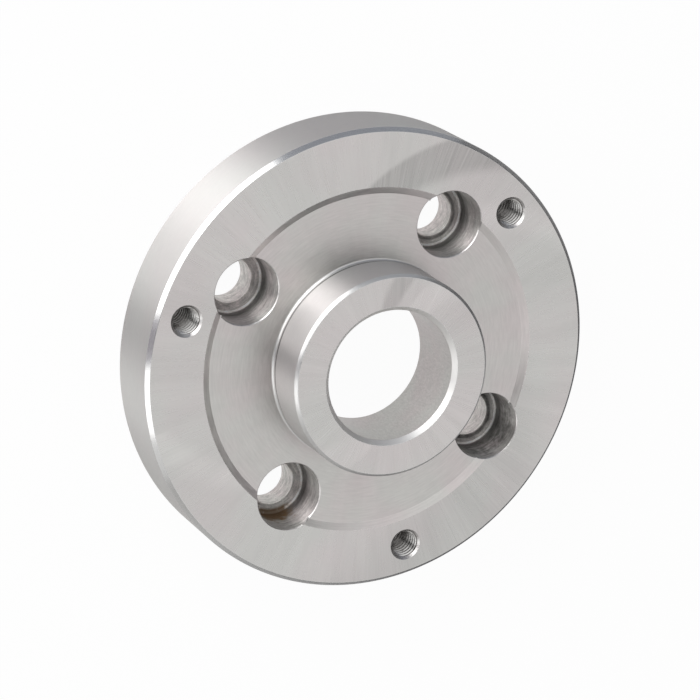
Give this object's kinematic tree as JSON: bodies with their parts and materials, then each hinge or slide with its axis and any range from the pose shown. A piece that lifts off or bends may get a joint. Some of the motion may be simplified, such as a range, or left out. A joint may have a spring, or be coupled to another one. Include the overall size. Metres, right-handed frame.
{
  "type": "chuck adapter plate",
  "caption": "Round steel plate with a raised hub and through bore, counterbored screw holes and tapped holes; seats a lathe chuck on a short-taper spindle nose.",
  "frame": {"origin": "middle of the back face, where the plate seats on the spindle", "axes": "+Z along the turning axis, from the spindle towards the chuck; +X and +Y bisect the four spindle screw holes, and one tapped hole lies on -Y"},
  "size_m": [0.125, 0.125, 0.034],
  "materials": {
    "ground_steel": "bare steel, ground on the seating faces, fine-turned elsewhere"
  },
  "bodies": {
    "root": {"adapter_plate": "ground_steel"}
  },
  "joints": []
}
